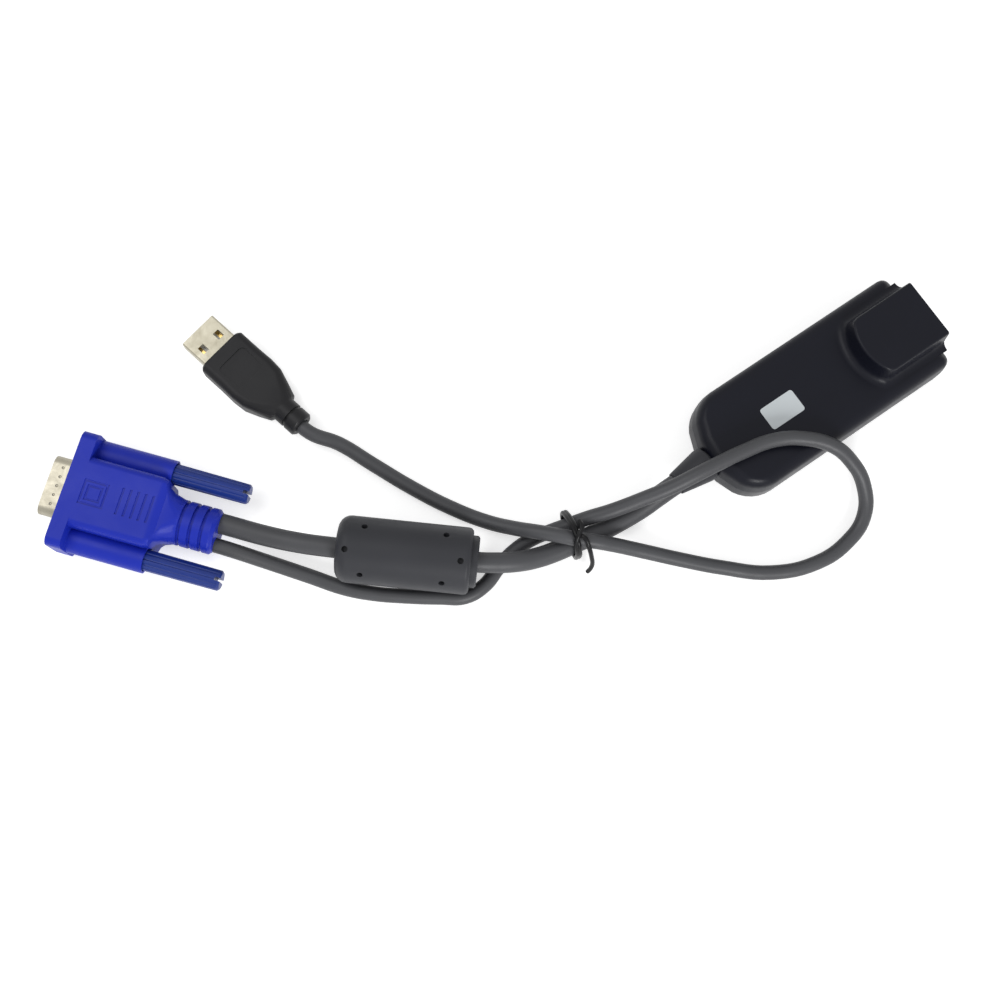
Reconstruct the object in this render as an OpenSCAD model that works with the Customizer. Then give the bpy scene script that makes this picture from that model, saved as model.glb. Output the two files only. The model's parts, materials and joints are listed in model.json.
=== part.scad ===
// Adapter cable for a keyboard, video and mouse switch.
// A flat module with a raised network jack ends in a video cable with a ferrite and a screw-in
// video plug, and a thinner cable runs from the video plug, through a twist tie, to a USB plug.
// Millimetres. X runs along the module towards its jack, Z is up, and the origin is the middle
// of the module's base. The plugs and the ferrite lie on the same surface as the module.

/* [Module] */
// Length of the module's case
pod_l = 77; // [74:1:84]
// Width of the module's case
pod_w = 32.5; // [31:0.5:38]
// Height of the flat part of the case
pod_h = 13; // [12.5:0.5:15]
// Wall of the case
pod_wall = 1.8; // [1.4:0.1:2]
// Radius of the rounding along the case's upper edge
pod_edge_r = 3.5; // [2:0.25:4]
// Radius of the corners at the cable end
pod_corner_r = 7.5; // [5:0.5:9]
// Height of the seam between the two shells
seam_z = 6.5; // [6.5:0.1:7]
// Wall of the hood over the jack
hood_wall = 1.2; // [1:0.1:1.4]
// Radius of the hollow fillet round the foot of the hood
hood_fillet = 2.6; // [1.5:0.1:2.8]
// Sagitta of the hood's bowed back
hood_bow = 3.2; // [2:0.2:4]

/* [Network jack] */
// Width of the jack with its shield
jack_w = 15.6; // [15.4:0.1:16]
// Height of the jack with its shield
jack_h = 13.2; // [13:0.1:13.6]
// Depth of the jack
jack_l = 18; // [17:0.5:19]

/* [Cables] */
// Radius of the video cable
video_r = 2.9; // [2.6:0.1:3]
// Radius of the USB cable
usb_r = 2.1; // [1.8:0.1:2.2]

/* [Ferrite] */
// Length of the ferrite's moulding without its collar
bead_l = 36.8; // [32:0.4:38]
// Radius of the ferrite's moulding
bead_r = 9.25; // [9:0.05:9.4]

/* [Video plug] */
// Width of the plug's flange
flange_w = 32.8; // [32.6:0.1:34]
// Height of the plug's flange and block
flange_h = 15.6; // [15.4:0.2:16]
// Thickness of the plug's flange
flange_t = 4.3; // [3.5:0.1:5]
// Distance from the flange's face to the back of the screw tubes
tube_end = 25.6; // [24:0.2:26]
// Distance between the two screws, set by the standard
screw_pitch = 25; // [24.9:0.05:25.1]
// Length of the screws' travel
screw_travel = 5.5; // [4.5:0.5:5.5]

/* [USB plug] */
// Width of the USB shell, set by the standard
usb_shell_w = 12; // [11.9:0.05:12.1]
// Height of the USB shell, set by the standard
usb_shell_h = 4.5; // [4.4:0.05:4.6]
// Length of the USB shell in front of its moulding
usb_reach = 9.3; // [9:0.1:11.5]
// Height of the USB plug's moulding
usb_body_h = 8.4; // [8:0.1:9]

/* [Hidden] */

$fn = 48;
overrun = 0.5;
// Clearance of pieces that are assembled into a pocket
fit = 0.05;
// Smallest radius left where an outline is drawn in
least_r = 0.2;

// Case
floor_t = 2;
standoff_h = 0.8;
standoff_w = 3;
standoff_x_shares = [-0.32, 0.3];
board_t = 1.6;
board_z = floor_t + standoff_h;
jack_z = board_z + board_t;
jack_corner_r = 3;
pod_end_r = 45;
pod_draft = 0.35;
pod_foot_r = 1.2;
edge_steps = 4;
lip_h = 1.2;
lip_t = 0.8;
hood_roof_gap = 1.2;
hood_side_gap = 0.2;
hood_h = jack_z + jack_h + hood_roof_gap + hood_wall;
hood_w = jack_w + 2 * (hood_wall + hood_side_gap);
hood_draft = 0.5;
hood_edge_r = 0.8;
hood_corner = 1.2;
hood_set = 0.3;
hood_front_x = pod_l / 2 - hood_set;
hood_l = 23.6;
hood_back_x = hood_front_x - hood_l;
hood_end_r = (pow(hood_w / 2, 2) + pow(hood_bow, 2)) / (2 * hood_bow);

// Case screws
case_screw_x_shares = [-0.364, 0.312];
case_screw_r = 1;
case_screw_head_r = 1.9;
case_screw_head_h = 1.1;
case_screw_sink = 0.3;
case_screw_l = 8;
case_boss_r = 2.3;
driver_w = 0.5;
driver_l_share = 0.6;

// Label
label_l = 11.3;
label_w = 7;
label_t = 0.12;
label_corner = 0.8;
label_x_share = -0.16;

// Board and what stands on it
board_gap = 0.6;
board_back = 3.2;
board_front = 4;
chip_place_shares = [[-0.02, 0.1], [-0.05, -0.62], [0.3, 0.6], [-0.42, -0.5], [-0.3, 0.55]];
chip_sizes = [[12, 12, 1.4], [9, 4, 1.4], [5, 4, 1.4], [5, 4, 1.4], [8, 3.4, 3.2]];
cap_place_shares = [[-0.55, 0.5], [0.18, -0.62]];
cap_r = 2.5;
cap_h = 5.2;
cap_base = 0.6;
plug_block_l = 5;
plug_block_w = 13;
plug_block_h = 5.4;
lead_r = 0.45;
lead_count = 6;
lead_pitch = 1;

// Network jack
jack_front_x = hood_front_x - hood_side_gap;
jack_back_x = jack_front_x - jack_l;
shield_t = 0.25;
socket_w = 11.9;
socket_l = 14.5;
socket_h = 6.9;
socket_floor = 4;
socket_z = jack_z + socket_floor;
latch_w = 6.4;
latch_h = 2;
comb_h = 1.1;
comb_front = 1.2;
contact_pitch = 1.02;
contact_w = 0.4;
contact_t = 0.35;
contact_count = 8;
contact_l = 11.2;
contact_root = 0.9;
contact_drop = 3.45;

// Gland
gland_z = seam_z;
gland_l = 9.7;
gland_tip_r = 3.3;
gland_foot_r = 5;
gland_neck_r = 3.9;
gland_flange_r = 4.3;
gland_flange_t = 1.4;
gland_flange_gap = 0.5;
cable_in_gland = 13;

// Ferrite
bead_x = -123;
bead_y = 25.2;
bead_yaw = -39.9;
bead_z = 10;
bead_round = 3.4;
bead_edge = 1.4;
collar_r = 7.2;
collar_l = 1.8;
collar_edge = 0.5;
core_r = 7;
core_l = 28;
core_bore_r = 3.2;
pin_hole_r = 0.85;
pin_hole_depth = 1.8;
bead_way_in = -21;
bead_way_mid = 7;
bead_way_out = 20.4;
pin_roll = -10;
pin_spread = 45;
pin_side_share = 0.299;
pin_top_share = 0.421;

// Video plug: its own X runs from the flange's face towards the cables
vga_x = -188.8;
vga_y = 91;
vga_yaw = -49.7;
axis_z = flange_h / 2;
flange_corner = 2.6;
block_w = 19.8;
block_l = 27;
block_round = 2.2;
tube_r = 3.75;
tube_bore_r = 3.2;
web_h = 5;
neck_r = 6.4;
neck_start = 31;
neck_end = 42;
neck_edge = 1;
neck_round_share = 0.7;
groove_w = 1;
groove_depth = 0.7;
groove_pitch = 3.1;
groove_count = 3;
screw_bore_r = 1.6;
screw_bore_gap = 0.7;
plate_w = 30.8;
plate_h = 12.4;
plate_t = 0.8;
plate_corner = 2;
skirt_l = 5.9;
skirt_t = 0.45;
skirt_w = 16.92;
skirt_h = 8.36;
skirt_corner = 2.6;
skirt_lean = 10;
skirt_dimple_r = 0.55;
skirt_dimple_sink = 0.2;
skirt_dimple_pitch = 2.6;
insulator_w = 19;
insulator_h = 10.4;
insulator_l = 6;
insulator_set = 0.6;
pin_r = 0.38;
pin_l = 10.4;
pin_pitch = 2.29;
pin_row = 1.98;
pin_tail = 0.6;
inner_mould_l = 15;
video_exit_y = 2.7;
usb_exit_y = -3.4;
usb_exit_drop = 0.8;
usb_exit_z = axis_z - usb_exit_drop;
socket_depth = 6;
exit_run = 2;
mark_t = 0.3;
mark_w = 0.7;
mark_size = 7;
mark_inner = 4.4;
mark_x = 8.4;
bar_l = 7.6;
bar_x = 15.4;
bar_pitch = 2.1;
bar_count = 5;

// Screws of the video plug: each is a steel screw with a moulded knob on it
screw_r = 1.42;
screw_tip = 0.5;
screw_thread_l = 8;
shank_r = 1.35;
shank_end = 40;
shank_fit = 0.05;
knob_r = 3;
knob_tip_r = 2.85;
knob_start = 17.6;
screw_bore_l = knob_start - screw_travel - screw_bore_gap;
knob_end = 47;
knob_edge = 0.5;
flute_r = 0.45;
flute_count = 12;
flute_inset = 0.9;
slot_w = 1;
slot_depth = 1.6;

// USB plug: its own X runs from the shell's mouth towards the cable
usb_x = -135.6;
usb_y = 113;
usb_yaw = -76.5;
usb_z = usb_body_h / 2;
usb_wall = 0.3;
usb_shell_held = 6.5;
usb_shell_l = usb_reach + usb_shell_held;
usb_corner = 0.6;
window_l = 2.4;
window_w = 2;
window_x = 5.4;
window_y = 3;
tongue_t = 1.84;
tongue_set = 0.5;
tongue_back = 1;
tongue_l = usb_shell_l - tongue_back;
strip_t = 0.15;
strip_w = 1.2;
strip_l = 7.5;
strip_set = 1.2;
strip_y = [-3.5, -1, 1, 3.5];
body_l = 24;
body_w = 14.8;
body_round = 2;
body_late_round = 2.6;
body_x_shares = [0.3, 0.52, 0.68, 0.86];
usb_neck_r = 3.8;
usb_neck_l = 31.7;
usb_neck_end = usb_reach + usb_neck_l;
usb_groove_w = 0.9;
usb_groove_depth = 0.6;
usb_groove_back = 27.3;
usb_groove_x = usb_reach + usb_groove_back;
usb_inner_l = 10;
usb_inner_w = 9.4;
usb_inner_h = 5.6;
panel_l = 8.6;
panel_w = 9;
panel_depth = 0.25;
panel_back = 8.4;
panel_x = usb_reach + panel_back;
panel_corner = 1.2;
usb_cable_depth = 7;
usb_exit_run = 3;

// Twist tie
tie_r = 0.75;
tie_tip_r = 0.4;
tie_x = -81.6;
tie_y = 2.4;
tie_yaw = -16;

// Sides of the swept cables
video_sides = 10;
usb_sides = 8;
tie_sides = 6;

// Sides of small round pieces
small_sides = 16;

// Outline helpers
function arc(c, r, a0, a1, n) = [for (i = [0:n]) let (a = a0 + (a1 - a0) * i / n) c + r * [cos(a), sin(a)]];
function at_level(points, z) = [for (p = points) [p.x, p.y, z]];
function turned(p, yaw) = [p.x * cos(yaw) - p.y * sin(yaw), p.x * sin(yaw) + p.y * cos(yaw), p.z];
function vga_at(p) = [vga_x, vga_y, 0] + turned(p, vga_yaw);
function usb_at(p) = [usb_x, usb_y, 0] + turned(p, usb_yaw);
function bead_at(p) = [bead_x, bead_y, 0] + turned(p, bead_yaw);
function tie_at(p) = [tie_x, tie_y, 0] + turned(p, tie_yaw);

// Rounded rectangle about its centre, counter-clockwise
function round_rect(w, h, r, n) = concat(
    arc([w / 2 - r, -(h / 2 - r)], r, -90, 0, n),
    arc([w / 2 - r, h / 2 - r], r, 0, 90, n),
    arc([-(w / 2 - r), h / 2 - r], r, 90, 180, n),
    arc([-(w / 2 - r), -(h / 2 - r)], r, 180, 270, n));

// Outline of the case, moved outwards by g: sharp jack end, widely rounded and bowed cable end
function pod_outline(g) =
    let (a = asin((pod_w / 2 - pod_corner_r) / (pod_end_r - pod_corner_r)),
         cx = -pod_l / 2 + pod_end_r - (pod_end_r - pod_corner_r) * cos(a),
         r = max(jack_corner_r + g, least_r),
         jx = pod_l / 2 + g - r,
         jy = pod_w / 2 + g - r)
    concat(
        arc([jx, -jy], r, -90, 0, 4),
        arc([jx, jy], r, 0, 90, 4),
        arc([cx, pod_w / 2 - pod_corner_r], pod_corner_r + g, 90, 180 - a, 6),
        arc([-pod_l / 2 + pod_end_r, 0], pod_end_r + g, 180 - a / 2, 180 + a / 2, 2),
        arc([cx, -(pod_w / 2 - pod_corner_r)], pod_corner_r + g, 180 + a, 270, 6));

// Outline of the hood, moved outwards by g at its sides and back: flat front, bowed back
function hood_outline(g, front) =
    let (hw = hood_w / 2 + g,
         r = hood_end_r + g,
         cx = hood_back_x + hood_end_r,
         side_x = cx - sqrt(r * r - hw * hw) + hood_corner,
         a = asin((hw - hood_corner / 2) / r))
    concat([[front, -hw], [front, hw], [side_x, hw]],
        arc([cx, 0], r, 180 - a, 180 + a, 10),
        [[side_x, -hw]]);

// D-shaped outline of the video plug's skirt, moved outwards by g, wide side up
function d_outline(g) =
    let (top_x = skirt_w / 2 - skirt_corner,
         y = skirt_h / 2 - skirt_corner,
         low_x = top_x - 2 * y * tan(skirt_lean),
         r = skirt_corner + g)
    concat(
        arc([top_x, y], r, -skirt_lean, 90, 5),
        arc([-top_x, y], r, 90, 180 + skirt_lean, 5),
        arc([-low_x, -y], r, 180 + skirt_lean, 270, 5),
        arc([low_x, -y], r, 270, 360 - skirt_lean, 5));

function unit(v) = v / norm(v);
function tangent(p, i, closed) = closed
    ? unit(p[(i + 1) % len(p)] - p[(i + len(p) - 1) % len(p)])
    : unit(p[min(i + 1, len(p) - 1)] - p[max(i - 1, 0)]);
function tube_ring(c, t, r, sides) =
    let (side = unit(cross([0, 0, 1], t)), up = cross(t, side))
    [for (k = [0:sides - 1]) let (a = 360 * (k + 0.5) / sides) c + r * (cos(a) * side + sin(a) * up)];

// Solid between rings of as many points each, which run counter-clockwise seen from the last one
module loft(rings) {
    n = len(rings[0]);
    m = len(rings);
    polyhedron(
        points = [for (ring = rings) each ring],
        faces = concat(
            [[for (i = [0:n - 1]) i]],
            [[for (i = [n - 1:-1:0]) (m - 1) * n + i]],
            [for (j = [0:m - 2], i = [0:n - 1])
                [j * n + i, (j + 1) * n + i, (j + 1) * n + (i + 1) % n]],
            [for (j = [0:m - 2], i = [0:n - 1])
                [j * n + i, (j + 1) * n + (i + 1) % n, j * n + (i + 1) % n]]));
}

// Tube along points, with a radius for each end
module tube_along(p, r0, r1, sides) {
    loft([for (i = [0:len(p) - 1])
        tube_ring(p[i], tangent(p, i, false), r0 + (r1 - r0) * i / (len(p) - 1), sides)]);
}

// Closed loop of round section that lies in the plane across its own X axis
module wire_loop(p, r, sides) {
    n = len(p);
    rings = [for (i = [0:n - 1]) let (t = tangent(p, i, true), out = cross(t, [1, 0, 0]))
        [for (k = [0:sides - 1]) let (a = 360 * k / sides) p[i] + r * (cos(a) * [1, 0, 0] + sin(a) * out)]];
    polyhedron(
        points = [for (ring = rings) each ring],
        faces = concat(
            [for (j = [0:n - 1], k = [0:sides - 1])
                [j * sides + k, ((j + 1) % n) * sides + k, ((j + 1) % n) * sides + (k + 1) % sides]],
            [for (j = [0:n - 1], k = [0:sides - 1])
                [j * sides + k, ((j + 1) % n) * sides + (k + 1) % sides, j * sides + (k + 1) % sides]]));
}

// Routes. The ends run inside what holds them, and the points between are chosen by hand.
video_route = concat(
    [vga_at([neck_end - socket_depth, video_exit_y, axis_z])],
    [vga_at([neck_end + exit_run, video_exit_y, axis_z])],
    [[-151, 50.6, 8.2], [-144.6, 43.8, 9.2]],
    [for (x = [bead_way_in, -bead_way_mid, bead_way_mid, bead_way_out]) bead_at([x, 0, bead_z])],
    [[-103.6, 9.6, 9.3], [-98.6, 6.8, 8], [-92.6, 4.6, 6], [-86.6, 3.2, 4.9], [-81.6, 2.4, 4.5],
     [-74, 1.2, 3.4], [-66, 0.4, 3], [-59.5, 0, 3.8], [-54.5, 0, 5.4], [-50.4, 0, 6.4]],
    [[-pod_l / 2 - gland_l, 0, gland_z], [-pod_l / 2 - gland_l + cable_in_gland, 0, gland_z]]);
usb_route = concat(
    [vga_at([neck_end - socket_depth, usb_exit_y, usb_exit_z])],
    [vga_at([neck_end + exit_run, usb_exit_y, usb_exit_z])],
    [[-153.4, 43.6, 3.8], [-147.4, 36, 2.2], [-141.2, 27.8, 2.1], [-135.6, 22.2, 2.1], [-129.4, 17.2, 2.1],
     [-120.6, 10.8, 2.1], [-115, 7.2, 2.1], [-108.8, 6.8, 2.1], [-102.6, 8.8, 2.1], [-96.4, 10.2, 2.1],
     [-90.4, 10.2, 2.6], [-85, 9, 3.6], [-79.2, 7.4, 4.6], [-74, 5.8, 6.2], [-68.6, 3.8, 8.1],
     [-59.6, 1.4, 10], [-50.8, -0.8, 13], [-44.6, -1.8, 14.9], [-38.4, -2.6, 15.5], [-30, -3.8, 15.5],
     [-20.6, -6, 15.5], [-13.4, -10.2, 15.5], [-7.8, -16.2, 15.1], [-4.8, -22.6, 12], [-4.4, -30.4, 7.6],
     [-8.4, -37.4, 3.8], [-16.2, -41.2, 2.2], [-27, -41, 2.1], [-39.6, -35.4, 2.1], [-50.6, -26.2, 2.1],
     [-59.2, -17.6, 2.2], [-66.4, -10.4, 3.8], [-72.4, -5, 6.8], [-77, -1.2, 9.2], [-81.2, 2.4, 10],
     [-84.6, 5.8, 9.8], [-88.4, 9.8, 8.6], [-93.2, 15.2, 5.4], [-98, 21.2, 2.9], [-104.4, 30.8, 2.1],
     [-110.2, 41.6, 2.1], [-115.4, 53, 2.1], [-120.2, 63.4, 2.9]],
    [usb_at([usb_neck_end + usb_exit_run, 0, usb_z]), usb_at([usb_neck_end - usb_cable_depth, 0, usb_z])]);
tie_loop = [[0, -4, 4.6], [0, -3.6, 2.4], [0, -1.9, 0.9], [0, 1.4, 0.75], [0, 5, 1.1], [0, 8, 2.1],
    [0, 9.1, 4.8], [0, 7.9, 7.8], [0, 5.4, 10.8], [0, 3, 12.6], [0, 0.6, 13.2], [0, -1.8, 12.3],
    [0, -3.4, 9.8], [0, -4, 7.2]];
tie_strand = [[-80.8, 8.4, 8.2], [-80.6, 6, 11.2], [-80.4, 3.8, 13.6], [-79.8, 1, 14.3], [-79.4, -1.8, 12.8],
    [-79.6, -5, 9.4], [-79.8, -8, 5.2], [-81, -9.8, 2.6], [-82.8, -10.8, 1.2]];
tie_second = [[-81.6, 4.6, 12.6], [-80.6, 2.8, 14.2], [-79, 3.8, 14.6], [-78.4, 5.8, 13.4]];

module in_vga() {
    translate([vga_x, vga_y, 0]) rotate([0, 0, vga_yaw]) children();
}

module in_usb() {
    translate([usb_x, usb_y, 0]) rotate([0, 0, usb_yaw]) children();
}

module in_bead() {
    translate([bead_x, bead_y, bead_z]) rotate([0, 0, bead_yaw]) children();
}

// Solid of revolution about X from [distance along X, radius] points
module turn(points) {
    rotate([0, 90, 0]) rotate_extrude() polygon([for (p = points) [p.y, p.x]]);
}

module rod(x0, x1, r) {
    translate([x0, 0, 0]) rotate([0, 90, 0]) cylinder(h = x1 - x0, r = r);
}

// Prism along X between two stations, of an outline drawn in Y and Z
module prism_x(x0, x1, points) {
    translate([x0, 0, 0]) rotate([90, 0, 90]) linear_extrude(x1 - x0) polygon(points);
}

module block(x0, x1, w, z0, z1) {
    translate([x0, -w / 2, z0]) cube([x1 - x0, w, z1 - z0]);
}

// Levels of the case's form, as [height, growth], from one height to another
function pod_side(shrink) = [[seam_z, -shrink], [pod_h - shrink - pod_edge_r, -pod_draft - shrink]];
function pod_crown(shrink) = [for (i = [1:edge_steps]) let (a = 90 * i / edge_steps)
    [pod_h - shrink - pod_edge_r * (1 - sin(a)), -pod_draft - shrink - pod_edge_r * (1 - cos(a))]];
function pod_rings(levels) = [for (v = levels) at_level(pod_outline(v[1]), v[0])];

function hood_growth(z) = hood_draft * (hood_h - z) / (hood_h - pod_h);
hood_levels = concat(
    [[pod_h - overrun, hood_growth(pod_h) + hood_fillet]],
    [for (i = [0:edge_steps]) let (a = 90 * i / edge_steps)
        [pod_h + hood_fillet * (1 - cos(a)), hood_growth(pod_h) + hood_fillet * (1 - sin(a))]],
    [for (i = [0:edge_steps]) let (a = 90 * i / edge_steps)
        [hood_h - hood_edge_r * (1 - sin(a)), -hood_edge_r * (1 - cos(a))]]);
hood_space = [[pod_h - pod_wall - overrun, hood_growth(pod_h) - hood_wall], [hood_h - hood_wall, -hood_wall]];

module case_screw_places() {
    for (share = case_screw_x_shares) translate([share * pod_l / 2, 0, 0]) children();
}

module gland_hole() {
    translate([0, 0, gland_z])
        rod(-pod_l / 2 - overrun, -pod_l / 2 + pod_wall + overrun, gland_neck_r + fit);
}

module jack_hole() {
    block(hood_front_x - pod_wall - overrun, pod_l / 2 + overrun, jack_w + 2 * fit,
        jack_z - fit, jack_z + jack_h + fit);
}

module case_top() {
    color("#24262b") difference() {
        union() {
            difference() {
                union() {
                    loft(pod_rings(concat(pod_side(0), pod_crown(0))));
                    loft([for (v = hood_levels) at_level(hood_outline(v[1], hood_front_x), v[0])]);
                }
                loft(pod_rings([[seam_z - overrun, -pod_wall], [pod_h - pod_wall, -pod_wall - pod_draft]]));
                loft([for (v = hood_space) at_level(hood_outline(v[1], hood_front_x - hood_wall), v[0])]);
                loft(pod_rings([[seam_z - overrun, -pod_wall + lip_t],
                    [seam_z + lip_h + fit, -pod_wall + lip_t]]));
            }
            case_screw_places() translate([0, 0, jack_z])
                cylinder(h = pod_h - overrun - jack_z, r = case_boss_r);
        }
        case_screw_places() cylinder(h = board_z + case_screw_l, r = case_screw_r + fit);
        gland_hole();
        jack_hole();
    }
}

module case_bottom() {
    color("#1f2126") difference() {
        union() {
            loft(pod_rings([[0, -pod_foot_r], [pod_foot_r / 3, -pod_foot_r / 3],
                [pod_foot_r, 0], [seam_z, 0]]));
            loft(pod_rings([[seam_z - lip_h, -pod_wall + lip_t - fit],
                [seam_z + lip_h, -pod_wall + lip_t - fit]]));
        }
        difference() {
            loft(pod_rings([[floor_t, -pod_wall], [seam_z + lip_h + overrun, -pod_wall]]));
            case_screw_places() translate([0, 0, floor_t - overrun])
                cylinder(h = standoff_h + overrun, r = case_boss_r);
            for (share = standoff_x_shares, side = [-1, 1])
                translate([share * pod_l, side * (pod_w / 2 - pod_wall - standoff_w), floor_t - overrun])
                    cylinder(h = standoff_h + overrun, r = standoff_w / 2);
        }
        case_screw_places() {
            translate([0, 0, -overrun]) cylinder(h = board_z + 2 * overrun, r = case_screw_r + 2 * fit);
            translate([0, 0, -overrun]) cylinder(h = case_screw_sink + case_screw_head_h + overrun,
                r = case_screw_head_r + fit);
        }
        gland_hole();
        jack_hole();
    }
}

module case_screws() {
    color("#8d9094") case_screw_places() translate([0, 0, case_screw_sink]) difference() {
        union() {
            cylinder(h = case_screw_head_h, r = case_screw_head_r);
            cylinder(h = case_screw_l, r = case_screw_r);
        }
        for (a = [0, 90]) rotate([0, 0, a])
            translate([-case_screw_head_r * driver_l_share, -driver_w / 2, -overrun])
                cube([2 * case_screw_head_r * driver_l_share, driver_w, overrun + case_screw_head_h / 2]);
    }
}

module case_label() {
    color("#c8ccd0") translate([label_x_share * pod_l, 0, pod_h])
        linear_extrude(label_t) polygon(round_rect(label_l, label_w, label_corner, 4));
}

module circuit_board() {
    color("#1d5a35") difference() {
        translate([0, 0, board_z]) linear_extrude(board_t) intersection() {
            polygon(pod_outline(-pod_wall - board_gap));
            translate([-pod_l / 2 + pod_wall + board_back, -pod_w / 2])
                square([pod_l - 2 * pod_wall - board_back - board_front, pod_w]);
        }
        case_screw_places() cylinder(h = pod_h, r = case_screw_r + 4 * fit);
    }
}

module board_chips() {
    color("#17181a") for (i = [0:len(chip_sizes) - 1]) {
        place = chip_place_shares[i];
        size = chip_sizes[i];
        translate([place.x * pod_l / 2 - size.x / 2, place.y * pod_w / 2 - size.y / 2, jack_z]) cube(size);
    }
}

module board_capacitors() {
    color("#b9bcc0") for (place = cap_place_shares)
        translate([place.x * pod_l / 2, place.y * pod_w / 2, jack_z]) {
            translate([-cap_r, -cap_r, 0]) cube([2 * cap_r, 2 * cap_r, cap_base]);
            cylinder(h = cap_h, r = cap_r);
        }
}

plug_block_x = -pod_l / 2 + pod_wall + board_back + fit;

module lead_connector() {
    color("#e8e4d8") block(plug_block_x, plug_block_x + plug_block_l, plug_block_w,
        jack_z, jack_z + plug_block_h);
}

cable_end_x = -pod_l / 2 - gland_l + cable_in_gland;

module cable_leads() {
    colours = ["red", "green", "blue", "white", "yellow", "brown"];
    for (i = [0:lead_count - 1]) color(colours[i])
        translate([0, (i % 3 - 1) * lead_pitch, gland_z + (floor(i / 3) - 0.5) * lead_pitch])
            rod(cable_end_x, plug_block_x, lead_r);
}

module jack_housing() {
    side = jack_w - 2 * shield_t;
    color("#1b1c1f") difference() {
        block(jack_back_x + shield_t, jack_front_x, side, jack_z, jack_z + jack_h - shield_t);
        block(jack_front_x - socket_l, jack_front_x + overrun, socket_w, socket_z, socket_z + socket_h);
        block(jack_front_x - socket_l, jack_front_x + overrun, latch_w,
            socket_z - latch_h, socket_z + overrun);
        block(jack_front_x - socket_l + comb_front, jack_front_x - comb_front, contact_count * contact_pitch,
            socket_z + socket_h - overrun, socket_z + socket_h + comb_h);
    }
}

module jack_shield() {
    color("#c9ccd0") difference() {
        block(jack_back_x, jack_front_x, jack_w, jack_z, jack_z + jack_h);
        block(jack_back_x + shield_t, jack_front_x + overrun, jack_w - 2 * shield_t,
            jack_z - overrun, jack_z + jack_h - shield_t);
    }
}

// Each contact lies on the comb's roof and springs back into the socket
module jack_contacts() {
    front = jack_front_x - comb_front - contact_root;
    roof = socket_z + socket_h + comb_h;
    color("#d8b24a") for (i = [0:contact_count - 1])
        translate([0, (i - (contact_count - 1) / 2) * contact_pitch + contact_w / 2, 0])
            rotate([90, 0, 0]) linear_extrude(contact_w) polygon([
                [front - contact_l, roof], [front, roof], [front + contact_t, roof - contact_t],
                [front - contact_l + contact_root, roof - contact_drop],
                [front - contact_l + contact_root, roof - contact_drop + contact_t],
                [front - contact_root, roof - contact_t], [front - contact_l, roof - contact_t]]);
}

module cable_gland() {
    foot = -pod_l / 2;
    inside = foot + pod_wall + gland_flange_gap;
    color("#47474b") translate([0, 0, gland_z]) difference() {
        turn([[foot - gland_l, 0], [foot - gland_l, gland_tip_r], [foot - gland_flange_t, gland_foot_r],
            [foot, gland_foot_r], [foot, gland_neck_r], [inside, gland_neck_r], [inside, gland_flange_r],
            [inside + gland_flange_t, gland_flange_r], [inside + gland_flange_t, 0]]);
        rod(foot - gland_l - overrun, inside + gland_flange_t + overrun, video_r + fit);
    }
}

module video_cable() {
    color("#4a4a4e") tube_along(video_route, video_r, video_r, video_sides);
}

module ferrite_moulding() {
    left = -bead_l / 2;
    right = bead_l / 2;
    color("#4c4c50") in_bead() difference() {
        turn(concat(
            [[left, 0]],
            [for (q = arc([0, 0], bead_round, 180, 90, 5))
                [left + bead_round + q.x, bead_r - bead_round + q.y]],
            [for (q = arc([0, 0], bead_edge, 90, 0, 3))
                [right - bead_edge + q.x, bead_r - bead_edge + q.y]],
            [[right, collar_r], [right + collar_l - collar_edge, collar_r],
             [right + collar_l, collar_r - collar_edge], [right + collar_l, 0]]));
        rod(left - overrun, right + collar_l + overrun, video_r + fit);
        rod(-core_l / 2, core_l / 2, core_r);
        for (end = [-1, 1], k = [-1:1], half = [0, 180]) {
            share = k == 0 ? pin_top_share : pin_side_share;
            rotate([pin_roll + k * pin_spread + half, 0, 0])
                translate([end * bead_l * share, 0, bead_r - pin_hole_depth])
                    cylinder(h = pin_hole_depth + overrun, r = pin_hole_r, $fn = small_sides);
        }
    }
}

module ferrite_core() {
    color("#2c2c2e") in_bead() difference() {
        rod(-core_l / 2, core_l / 2, core_r);
        rod(-core_l / 2 - overrun, core_l / 2 + overrun, core_bore_r);
    }
}

// Rings of the hood's block, which turns from a rounded rectangle into the round neck
function hood_ring(x, w, h, r) = [for (p = round_rect(w, h, r, 5)) [x, p.x, axis_z + p.y]];

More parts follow.
